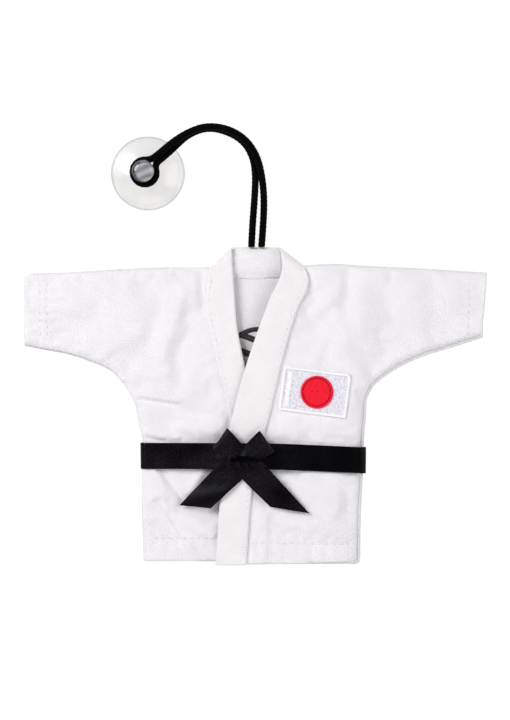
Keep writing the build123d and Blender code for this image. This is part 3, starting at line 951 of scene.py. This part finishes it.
def right_kept(xy):
    seams = [RIGHT_EDGE, RIGHT_SHOULDER_LINE, straight(RIGHT_CUFF)]
    return sewn_down(xy, seams, RIGHT_BAND_OUTER, [RIGHT_HEM_STITCHES] + RIGHT_CUFF_STITCHES)


def left_kept(xy):
    """The patch keeps the cloth under it from buckling too."""
    seams = [LEFT_SEAM_LINE, LEFT_SHOULDER_LINE, straight(LEFT_CUFF)]
    sewn = sewn_down(xy, seams, LEFT_BAND_OUTER, [LEFT_HEM_STITCHES] + LEFT_CUFF_STITCHES)
    return sewn | (patch_gap(xy) < 0.5)


def make_fronts():
    fronts = (
        ("right", right_outline(), right_top, right_kept, right_ceiling),
        ("left", left_outline(), left_top, left_kept, left_ceiling),
    )
    for side, outline, top, kept, ceiling in fronts:
        piece = cloth(f"{side}_front_cloth", outline, top, COTTON, kept=kept, ceiling=ceiling)
        declare_sheet(outline)
        nodes = ("front_panel", "sleeve", "side_seam", "shoulder_seam", "underarm_seam")
        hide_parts(*(f"{side}_{node}" for node in nodes))
        cross_armhole(piece, side, f"{side}_sleeve_body")


def under_right(xy):
    """The height of the underside of the wearer's right front."""
    return right_top(xy) - CLOTH


def under_left(xy):
    return left_top(xy) - CLOTH


def over_back(xy):
    return back_top(xy) + 0.5


def make_hems():
    """Turned-up allowances inside the bottom edge and the cuffs."""
    corners = {
        "right_front_hem": [(-43.0, -61.6), (8.0, -62.0), (8.0, -53.2), (-43.0, -52.8)],
        "left_front_hem": [(-9.0, -62.9), (39.6, -62.9), (39.6, -55.2), (-9.0, -54.8)],
        "back_hem": [(-42.5, -61.7), (39.5, -62.4), (39.5, -54.8), (-42.5, -53.0)],
        "right_cuff_hem": [(-91.9, 50.0), (-91.9, 26.5), (-83.3, 25.0), (-83.3, 50.6)],
        "left_cuff_hem": [(91.6, 51.0), (84.4, 51.4), (84.0, 27.4), (90.4, 29.0)],
    }
    hems = (
        ("right_front_hem", under_right, "jacket"),
        ("left_front_hem", under_left, "jacket"),
        ("back_hem", over_back, "jacket"),
        ("right_cuff_hem", under_right, "right_sleeve_body"),
        ("left_cuff_hem", under_left, "left_sleeve_body"),
    )
    for name, top, body in hems:
        outline = straight(corners[name] + corners[name][:1])[:-1]
        piece = cloth(name + "_fold", outline, top, COTTON, pitch=1.0, thickness=0.45)
        belongs(piece, body, "white_cotton", name)


# ---------------------------------------------------------------- collar


def band(name, outer, inner, base, node, neck_end):
    """A padded collar band with rounded edges that lies on its front and rolls over at the neck."""
    rows = int(lengths(dense(outer))[-1] / 0.6)
    columns = 23
    a, b = evenly(dense(outer), rows), evenly(dense(inner), rows)
    u = np.linspace(0, 1, columns)
    flat = a[:, None] + (b - a)[:, None] * u[None, :, None]
    xy = flat.reshape(-1, 2)
    to_edge = np.minimum(nearest(xy, a)[0], nearest(xy, b)[0])
    lift = BAND_FLOOR + BAND_THICKNESS * rounded(to_edge + 0.12, 0.9)
    row = inset(a, BAND_STITCH_INSET)
    if np.dot(row[5] - a[5], b[5] - a[5]) <= 0:
        row = inset(a, -BAND_STITCH_INSET)
    lift = lift + stitched(xy, row, 0.34, 0.45, 2.6) + 0.12 * ripple(xy, 9.0, 4.4)
    floor = base(xy)
    to_neck = nearest(xy, straight(neck_end))[0]
    roll = rounded(to_neck + 0.1, 3.0)
    upper = NECK_EDGE + (floor + lift - NECK_EDGE) * roll
    lower = np.minimum(upper - BAND_FLOOR, NECK_EDGE - 0.9 + (floor - NECK_EDGE + 0.9) * roll)
    top_grid = np.column_stack([xy, upper]).reshape(rows, columns, 3)
    bottom_grid = np.column_stack([xy, lower]).reshape(rows, columns, 3)
    piece = shell(name, top_grid, bottom_grid, COTTON_BAND)
    belongs(piece, "jacket", "white_cotton", node)

    def above(points):
        return base(points) + BAND_FLOOR + BAND_THICKNESS - 0.3

    sewn = stitches(name + "_stitches", row[6:-2], above, SEWING_THREAD, 1.7, 0.9)
    belongs(sewn, "jacket", "white_thread")


def right_under_band(xy):
    """What the wearer's right band lies on."""
    return np.minimum(right_top(xy), LEFT_TOP - CLOTH - BAND_THICKNESS - 0.5)


def left_under_band(xy):
    """What the wearer's left band lies on: level, as it crosses the V and the other band."""
    return LEFT_TOP - 0.35 * waist(xy) + 0.15 * ripple(xy, 16.0, 5.1)


def make_collar():
    band("right_lapel_cloth", RIGHT_BAND_OUTER, RIGHT_BAND_INNER, right_under_band, "right_lapel_band",
         [RIGHT_BAND_OUTER[0], NECK_RIGHT])
    band("left_lapel_cloth", LEFT_BAND_OUTER, LEFT_BAND_INNER, left_under_band, "left_lapel_band",
         [LEFT_BAND_OUTER[0], (12.9, 60.7), NECK_LEFT])
    corners = [(-11.5, 50.9), (0.0, 50.4), (11.0, 50.9), (9.9, COLLAR_TOP), (-9.7, COLLAR_TOP), (-11.5, 50.9)]
    outline = straight(corners, 0.7)[:-1]

    def top(xy):
        edge = np.minimum(np.abs(COLLAR_TOP - xy[:, 1]), np.abs(xy[:, 1] - 50.7))
        sag = 0.3 * np.cos(xy[:, 0] / 10.0 * math.pi / 2)
        seam = stitched(xy, straight([(-11.0, 52.2), (11.0, 52.2)]), 0.25, 0.4, 2.4)
        level = 1.0 + 0.03 * (xy[:, 1] - 50.7) + (1.6 - sag) * eased_edge(edge, 5.0)
        return level + seam + 0.25 * ripple(xy, 5.0, 2.2)

    piece = cloth("back_neck_cloth", outline, top, COTTON, pitch=0.6, thickness=0.5)
    belongs(piece, "jacket", "white_cotton", "back_neck_band", "cord_bartack")


def make_stitching():
    cuff, hem = 0.12, 0.17
    rows = []
    for k, line in enumerate(RIGHT_CUFF_STITCHES):
        rows.append((f"right_cuff_stitches_{k}", line[2:-2], right_top, "right_sleeve_body", cuff))
    for k, line in enumerate(LEFT_CUFF_STITCHES):
        rows.append((f"left_cuff_stitches_{k}", line[2:-2], left_top, "left_sleeve_body", cuff))
    rows.append(("right_hem_stitches", RIGHT_HEM_STITCHES[2:29], right_top, "jacket", hem))
    rows.append(("left_hem_stitches", LEFT_HEM_STITCHES[1:-2], left_top, "jacket", hem))
    for name, line, top, body, radius in rows:
        piece = stitches(name, line, top, SEWING_THREAD, radius=radius)
        belongs(piece, body, "white_thread")


# ---------------------------------------------------------------- patch and emblem


PATCH_HALF_X, PATCH_HALF_Y = PATCH_SIZE[0] / 2, PATCH_SIZE[1] / 2


def make_patch_field():
    rows, columns = 72, 110
    x = np.linspace(-PATCH_HALF_X + 0.4, PATCH_HALF_X - 0.4, columns)
    y = np.linspace(-PATCH_HALF_Y + 0.4, PATCH_HALF_Y - 0.4, rows)
    grid = np.stack(np.meshgrid(x, y), axis=-1)
    xy = grid.reshape(-1, 2)
    place = turned(xy)
    relief = 0.12 * ripple(xy, 0.9, 6.0) + 0.05 * np.sin(xy[:, 0] * 2 * math.pi / 1.3)
    upper = np.column_stack([place, patch_floor(place) + 0.4 + relief]).reshape(rows, columns, 3)
    lower = upper - np.array([0, 0, 0.6])
    field = shell("patch_field_stitching", upper, lower, PATCH_THREAD)
    belongs(field, "jacket", "white_thread", "patch_field")


def make_patch_border():
    x, y = PATCH_HALF_X, PATCH_HALF_Y
    corners = [(-x + 0.7, -y + 0.7), (x - 1.0, -y + 0.7), (x - 1.0, y - 2.2)]
    corners += [(x - 1.5, y - 1.3), (x - 2.5, y - 1.0), (-x + 0.7, y - 1.0)]
    line = straight(corners + corners[:1], 0.12)[:-1]
    around = lengths(np.vstack([line, line[:1]]))[:-1]
    wobble = 0.09 * np.sin(around * 2 * math.pi / 0.6)
    path = np.column_stack([turned(line), patch_floor(turned(line)) + 0.5])
    border = closed_rope("patch_border_stitching", path, 0.5, 0.42, wobble, BORDER_THREAD)
    belongs(border, "jacket", "white_thread", "patch_border")


def make_patch_disc():
    rings, spokes = 44, 140
    radius = DISC_RADIUS * np.sqrt(np.linspace(1e-7, 1, rings))
    angle = np.linspace(0, 2 * math.pi, spokes + 1)
    disc = (radius[:, None, None] * np.stack([np.cos(angle), np.sin(angle)], axis=-1)).reshape(-1, 2)
    place = turned(disc + DISC_PLACE)
    from_middle = np.linalg.norm(disc, axis=1)
    dome = 0.25 * rounded(DISC_RADIUS - from_middle + 0.05, 1.4)
    groove = np.exp(-(((from_middle - DISC_RADIUS + DISC_GROOVE) / 0.28) ** 2))
    dome = dome - 0.3 * groove + 0.05 * np.sin(disc[:, 0] * 2 * math.pi / 1.05)
    dome = dome + 0.09 * ripple(disc, 0.7, 1.0)
    upper = np.column_stack([place, patch_floor(place) + 0.62 + dome]).reshape(rings, spokes + 1, 3)
    upper = upper[:, ::-1]
    piece = shell("patch_disc_stitching", upper, upper - np.array([0, 0, 0.7]), RED_THREAD)
    set_flat_uv(piece)
    # The faces in the groove beside the disc's rim get the darker red: painted shade in the groove.
    piece.data.materials.append(RED_THREAD_PAINTED_SHADE)
    middle = np.append(turned(DISC_PLACE[None])[0], 0)
    for face in piece.data.polygons:
        reach = np.hypot(*(np.array(face.center) / MM - middle)[:2])
        face.material_index = int(abs(reach - DISC_RADIUS + DISC_GROOVE) < 0.22)
    belongs(piece, "jacket", "red_thread", "patch_disc")


def make_patch_rim():
    angle = circle(200)
    line = turned((DISC_RADIUS - 0.3) * np.column_stack([np.cos(angle), np.sin(angle)]) + DISC_PLACE)
    path = np.column_stack([line, patch_floor(line) + 0.68])
    wobble = 0.1 * np.sin(np.arange(len(angle)) * math.pi / 2)
    piece = closed_rope("patch_disc_rim", path, 0.42, 0.3, wobble, RED_RIM_THREAD)
    belongs(piece, "jacket", "red_thread")


def make_patch_zigzag():
    """A zigzag of white thread beside the edge of the patch that is nearest the lapel."""
    steps = np.arange(-PATCH_HALF_Y + 2.2, PATCH_HALF_Y - 2.3, 0.42)
    zigzag = [(-PATCH_HALF_X + 3.2 + (0.95 if k % 2 else -0.95), y) for k, y in enumerate(steps)]
    flat = turned(straight(zigzag, 0.2))
    line = np.column_stack([flat, patch_floor(flat) + 0.5])
    piece = threads("patch_zigzag", [line], 0.26, BORDER_THREAD)
    belongs(piece, "jacket", "white_thread")


def set_flat_uv(piece):
    """UVs straight from above, in millimetres."""
    layer = piece.data.uv_layers[0]
    for loop in piece.data.loops:
        place = piece.data.vertices[loop.vertex_index].co / MM
        layer.data[loop.index].uv = (place.x, place.y)


def closed_rope(name, path, half_width, half_height, wobble, material):
    """A closed, flattened rope of stitches along a loop of points."""
    run = unit(np.roll(path, -1, axis=0) - np.roll(path, 1, axis=0))
    side = unit(np.cross(run, (0, 0, 1.0)))
    angle = circle(12)
    size = 1 + wobble
    points = (
        path[:, None]
        + side[:, None] * (np.cos(angle) * half_width)[None, :, None] * size[:, None, None]
        + np.array([0, 0, 1.0]) * (np.sin(angle) * half_height)[None, :, None] * size[:, None, None]
    )
    faces = grid_faces(len(path), len(angle), flipped=True, round_rows=True)
    along = lengths(np.vstack([path, path[:1]]))[:-1]
    uv = np.stack(np.broadcast_arrays(angle[None] * half_width, along[:, None]), axis=-1)
    return make_object(name, points.reshape(-1, 3), faces, uv.reshape(-1, 2), material)


def make_emblem():
    """A plain embroidered ring with two slanting bars, stitched into the back."""
    angle = circle(240)
    middle = EMBLEM_RADIUS - EMBLEM_STROKE / 2
    ring = np.column_stack([
        EMBLEM_MIDDLE[0] + middle * np.cos(angle),
        EMBLEM_MIDDLE[1] + middle * np.sin(angle),
        np.full_like(angle, 0.75),
    ])
    embroider("back_emblem_ring", ring)
    c, s = math.cos(EMBLEM_TILT), math.sin(EMBLEM_TILT)
    for k, offset in enumerate(EMBLEM_BARS):
        half = math.sqrt(middle**2 - offset**2)
        along = np.concatenate([np.arange(-half, half, 0.3), np.arange(half, -half, -0.3)])
        side = np.where(np.arange(len(along)) < len(along) // 2, -0.25, 0.25) + offset
        bar = np.column_stack([
            EMBLEM_MIDDLE[0] + c * along - s * side,
            EMBLEM_MIDDLE[1] + s * along + c * side,
            np.full_like(along, 0.78 + 0.01 * k),
        ])
        embroider(f"back_emblem_bar_{k}", bar)


def embroider(name, path):
    wobble = 0.06 * np.sin(np.arange(len(path)) * math.pi / 2)
    piece = closed_rope(name, path, EMBLEM_STROKE / 2, 0.66, wobble, BLACK_THREAD)
    belongs(piece, "jacket", "black_thread", "back_emblem")


# ---------------------------------------------------------------- belt


def selvedge(u, width):
    """The thicker woven edges of the ribbon."""
    return np.exp(-((u / width) ** 2)) + np.exp(-(((1 - u) / width) ** 2))


def make_belt():
    upper_edge = [(x, belt_line(x) + BELT_HALF_WIDTH, z) for x, z in BELT_PATH]
    lower_edge = [(x, belt_line(x) - BELT_HALF_WIDTH, z) for x, z in BELT_PATH]

    def relief(u, v, along):
        near_knot = np.exp(-along / 9.0) + np.exp(-(along.max() - along) / 12.0)
        pleats = 0.28 * np.sin(u * 2 * math.pi * 2.6 + 0.8) * near_knot
        soft = 0.1 * np.sin(along * 0.35 + 2.0 * u) * np.sin(along * 0.13)
        behind = (v > 0.30) & (v < 0.70)
        return np.where(behind, 0.0, pleats + soft) + 0.08 * selvedge(u, 0.06)

    piece = ribbon("belt_ribbon", lower_edge, upper_edge, SATIN_BELT, relief)
    nodes = ("belt_front_run", "belt_back_run", "belt_right_turn", "belt_left_turn")
    belongs(piece, "belt", "black_ribbon", *nodes)


def bow_piece(name, first, second, relief, material=SATIN):
    piece = ribbon(name + "_ribbon", first, second, material, relief, step=0.4, columns=25)
    belongs(piece, "belt", "black_ribbon", name)


def pleated(start, count, height, fade):
    """Gathers that start at one end of a ribbon and fade away along it."""

    def relief(u, v, along):
        from_end = along if start else along.max() - along
        pleats = height * np.sin(u * 2 * math.pi * count + 0.6) * np.exp(-from_end / fade)
        soft = 0.12 * np.sin(along * 0.5 + u * 3.0)
        return pleats + 0.07 * selvedge(u, 0.05) + soft

    return relief


def drawn_in(u, v, along):
    """The knot is pulled so tight that its middle sinks in."""
    return -0.25 * np.sin(u * math.pi) * np.ones_like(along)


def make_bow():
    # Each loop runs from the knot underneath, out to its fold, and back over to the knot.
    right_upper = [
        (-3.6, -16.8, 7.7), (-7.5, -13.0, 7.8), (-11.0, -8.9, 8.3), (-11.3, -8.7, 8.9),
        (-10.6, -9.3, 9.4), (-7.6, -12.4, 9.7), (-4.6, -16.4, 9.6), (-3.6, -20.2, 9.3),
    ]
    right_lower = [
        (-8.5, -22.6, 7.7), (-13.0, -20.0, 7.8), (-17.1, -16.9, 8.1), (-17.5, -16.7, 8.6),
        (-16.9, -17.2, 9.1), (-13.6, -19.6, 9.4), (-10.4, -21.0, 9.4), (-8.2, -22.0, 9.2),
    ]
    bow_piece("bow_right_loop", right_lower, right_upper, pleated(False, 2.4, 0.3, 4.0))
    left_upper = [
        (-5.6, -17.2, 8.2), (-2.0, -13.2, 8.3), (1.2, -10.1, 8.8), (1.5, -9.8, 9.4),
        (0.8, -10.4, 10.0), (-1.6, -12.9, 10.3), (-4.0, -15.6, 10.2), (-6.4, -19.6, 9.9),
    ]
    left_lower = [
        (0.0, -23.2, 8.2), (3.6, -20.6, 8.3), (7.4, -18.0, 8.7), (7.8, -17.7, 9.2),
        (7.1, -18.2, 9.8), (4.4, -19.9, 10.1), (1.4, -21.2, 10.0), (-1.2, -22.2, 9.7),
    ]
    bow_piece("bow_left_loop", left_upper, left_lower, pleated(False, 2.4, 0.3, 4.0))
    # Tails run from the knot to their slanted ends.
    right_tail_left = [
        (-11.8, -20.6, 8.9), (-13.6, -22.2, 8.2), (-16.9, -25.4, 7.3),
        (-23.5, -32.4, 5.3), (-26.9, -36.0, 4.9), (-30.3, -39.6, 4.6),
    ]
    right_tail_right = [
        (-0.5, -20.8, 8.9), (-1.4, -25.2, 8.2), (-5.2, -29.0, 7.9),
        (-11.2, -34.5, 8.4), (-14.6, -37.7, 8.1), (-17.7, -40.6, 6.9),
    ]
    bow_piece("bow_right_tail", right_tail_left, right_tail_right, pleated(True, 3.4, 0.35, 5.0))
    left_tail_left = [
        (-9.8, -20.9, 9.5), (-9.4, -23.6, 9.3), (-5.1, -29.1, 8.4), (0.3, -34.6, 7.9), (5.9, -40.0, 7.6),
    ]
    left_tail_right = [
        (1.8, -21.0, 9.5), (5.0, -24.6, 8.6), (9.8, -30.0, 7.8), (15.6, -36.3, 7.4), (21.4, -42.6, 7.2),
    ]
    bow_piece("bow_left_tail", left_tail_left, left_tail_right, pleated(True, 4.4, 0.4, 5.0))
    # The knot is a short wrap of the same ribbon, pulled narrow. Its satin is a darker, duller copy: painted
    # shade in the crease between the loops and the tails.
    front = [
        (-9.8, -20.8, 7.6), (-9.6, -20.8, 9.2), (-8.4, -20.8, 9.9), (-4.0, -20.9, 10.3),
        (0.6, -21.0, 9.9), (1.8, -21.0, 9.2), (2.0, -21.0, 7.6),
    ]
    upper = [(x, y + KNOT_HALF_WIDTH, z) for x, y, z in front]
    lower = [(x, y - KNOT_HALF_WIDTH, z) for x, y, z in front]
    bow_piece("bow_knot", lower, upper, drawn_in, SATIN_PAINTED_SHADE)


# ---------------------------------------------------------------- cord and suction cup


def make_cord():
    curve = bpy.data.curves.new("elastic_cord_route", "CURVE")
    curve.dimensions = "3D"
    curve.resolution_u = 10
    spline = curve.splines.new("NURBS")
    spline.points.add(len(CORD_POINTS) - 1)
    for point, place in zip(spline.points, CORD_POINTS):
        point.co = (place[0] * MM, place[1] * MM, place[2] * MM, 1)
    spline.order_u = 3
    spline.use_endpoint_u = True
    route = bpy.data.objects.new("elastic_cord_route", curve)
    bpy.context.scene.collection.objects.link(route)
    bpy.context.view_layer.update()
    line_mesh = bpy.data.meshes.new_from_object(route)
    path = np.array([v.co for v in line_mesh.vertices]) / MM
    bpy.data.objects.remove(route)
    line = evenly(path, int(lengths(path)[-1] / 0.22))
    cord_tube(line)


def cord_tube(line):
    """A braided tube: its surface bulges at each strand that crosses."""
    angle = np.linspace(0, 2 * math.pi, 25)
    along = lengths(line)
    turn = along[:, None] * 2 * math.pi / 3.4
    braid = np.maximum(np.cos(4 * angle[None] + turn * 2), np.cos(4 * angle[None] - turn * 2))
    radius = CORD_DIAMETER / 2 * (0.985 + 0.035 * braid)
    grid = line[:, None] + rings_round(line, angle) * radius[..., None]
    faces = grid_faces(len(line), len(angle), round_columns=False)
    across = angle[None] * CORD_DIAMETER / 2
    uv = np.stack(np.broadcast_arrays(across, along[:, None]), axis=-1).reshape(-1, 2)
    piece = make_object("braided_cord", grid.reshape(-1, 3), faces, uv, ELASTIC)
    belongs(piece, "cord", "black_elastic", "elastic_cord")


def make_cord_roots():
    """Where the two ends of the cord come out of the collar's seam."""
    for side, (x, _, height) in (("right", CORD_POINTS[0]), ("left", CORD_POINTS[-1])):
        root = straight([(x, COLLAR_TOP + 0.05, height), (x, COLLAR_TOP + 1.5, height)], 0.3)
        points, faces = tube(root, CORD_DIAMETER * 0.46, 16, tapered=False)
        piece = make_object(f"cord_root_{side}", points, faces, points[:, :2], ELASTIC)
        belongs(piece, "jacket", "black_elastic")


def lean(z):
    """The soft neck leans, so that the head sits off the cup's middle: how far, at each height."""
    return 0.6 - 1.4 * ease(z, 0.0, 13.5), 0.15 - 0.1 * ease(z, 0.0, 13.5)


def make_cup():
    """One clear moulding, turned about its own axis: a shallow cup, a neck for the cord and a round head."""
    outside = dense([
        (0.02, 14.1), (2.4, 14.0), (3.7, 13.4), (4.35, 12.2), (4.0, 11.2), (3.0, 10.6), (2.8, 9.0),
        (2.8, 6.4), (3.6, 5.5), (6.0, 4.7), (9.0, 3.7), (12.0, 2.2), (13.8, 1.0), (14.3, 1.1), (14.7, 0.8),
        (14.75, 0.15),
    ])
    underside = dense([
        (14.75, 0.15), (14.3, 0.03), (13.4, 0.35), (11.0, 1.35), (7.5, 2.5), (3.5, 3.2), (0.02, 3.4),
    ])
    profile = joined(evenly(outside, 110), evenly(underside, 50))
    steps = 128
    angle = circle(steps)
    dx, dy = lean(profile[:, 1])
    points = np.stack([
        CUP_MIDDLE[0] + dx[:, None] + profile[:, None, 0] * np.cos(angle),
        CUP_MIDDLE[1] + dy[:, None] + profile[:, None, 0] * np.sin(angle),
        np.broadcast_to(profile[:, None, 1], (len(profile), steps)),
    ], axis=-1)
    faces = grid_faces(len(profile), steps, flipped=True)
    faces.append(list(range(steps)))
    faces.append([(len(profile) - 1) * steps + k for k in range(steps)][::-1])
    flat = points.reshape(-1, 3)
    piece = make_object("vinyl_cup", flat, faces, flat[:, :2], VINYL)
    piece.data.materials.append(VINYL_HEAD_PAINTED_REFLECTION)
    piece.data.materials.append(VINYL_RIM_PAINTED_SHADE)
    # The head's faces get the painted reflection, and the rim's faces the painted shade.
    head, rim = profile[:-1, 1] > 10.8, profile[:-1, 0] > 14.35
    for rows, index in ((head, 1), (rim, 2)):
        for i in np.flatnonzero(rows):
            for face in piece.data.polygons[int(i) * steps:(int(i) + 1) * steps]:
                face.material_index = index
    belongs(piece, "cup", "clear_vinyl", "suction_cup")


# ---------------------------------------------------------------- stage, light and camera


def make_stage():
    """A plain white floor that glows a little, as paper under strong studio light does."""
    mesh = bpy.data.meshes.new("floor")
    size, level = 3.0, -0.0002
    corners = [(x * size, y * size, level) for x, y in ((-1, -1), (1, -1), (1, 1), (-1, 1))]
    mesh.from_pydata(corners, [], [(0, 1, 2, 3)])
    floor = bpy.data.objects.new("floor", mesh)
    bpy.context.scene.collection.objects.link(floor)
    material = bpy.data.materials.new("floor_paper")
    material.use_nodes = True
    shader = material.node_tree.nodes["Principled BSDF"]
    shader.inputs["Base Color"].default_value = (0.1, 0.1, 0.1, 1)
    shader.inputs["Roughness"].default_value = 0.9
    shader.inputs["Emission Color"].default_value = (1, 1, 1, 1)
    shader.inputs["Emission Strength"].default_value = 0.94
    mesh.materials.append(material)


def area_light(name, place, size, power, colour=(1, 1, 1)):
    """A square soft box that points at the middle of the object."""
    light = bpy.data.lights.new(name, "AREA")
    light.size = size
    light.energy = power
    light.color = colour
    obj = bpy.data.objects.new(name, light)
    obj.location = place
    obj.rotation_euler = (Vector((0, 0.02, 0)) - Vector(place)).to_track_quat("-Z", "Y").to_euler()
    bpy.context.scene.collection.objects.link(obj)


def make_light():
    world = bpy.data.worlds.new("studio")
    bpy.context.scene.world = world
    world.use_nodes = True
    world.node_tree.nodes["Background"].inputs["Color"].default_value = (0.97, 0.975, 1.0, 1)
    world.node_tree.nodes["Background"].inputs["Strength"].default_value = 0.17
    area_light("key", (-0.60, 0.40, 0.62), 0.5, 6.9)
    area_light("fill", (0.70, 0.10, 0.55), 0.7, 3.6)
    area_light("front", (0.0, -0.80, 0.55), 0.7, 3.3)
    bpy.context.scene.view_settings.view_transform = "Standard"


def make_camera():
    camera = bpy.data.cameras.new("camera")
    camera.lens = CAMERA_LENS
    camera.sensor_width = 36
    obj = bpy.data.objects.new("camera", camera)
    obj.location = [value * MM for value in CAMERA_PLACE]
    bpy.context.scene.collection.objects.link(obj)
    bpy.context.scene.camera = obj


make_camera()
make_cord()
make_cord_roots()
make_cup()
make_hems()
make_backs()
make_fronts()
make_collar()
make_stitching()
make_patch_field()
make_patch_border()
make_patch_disc()
make_patch_rim()
make_patch_zigzag()
make_emblem()
make_belt()
make_bow()
make_stage()
make_light()
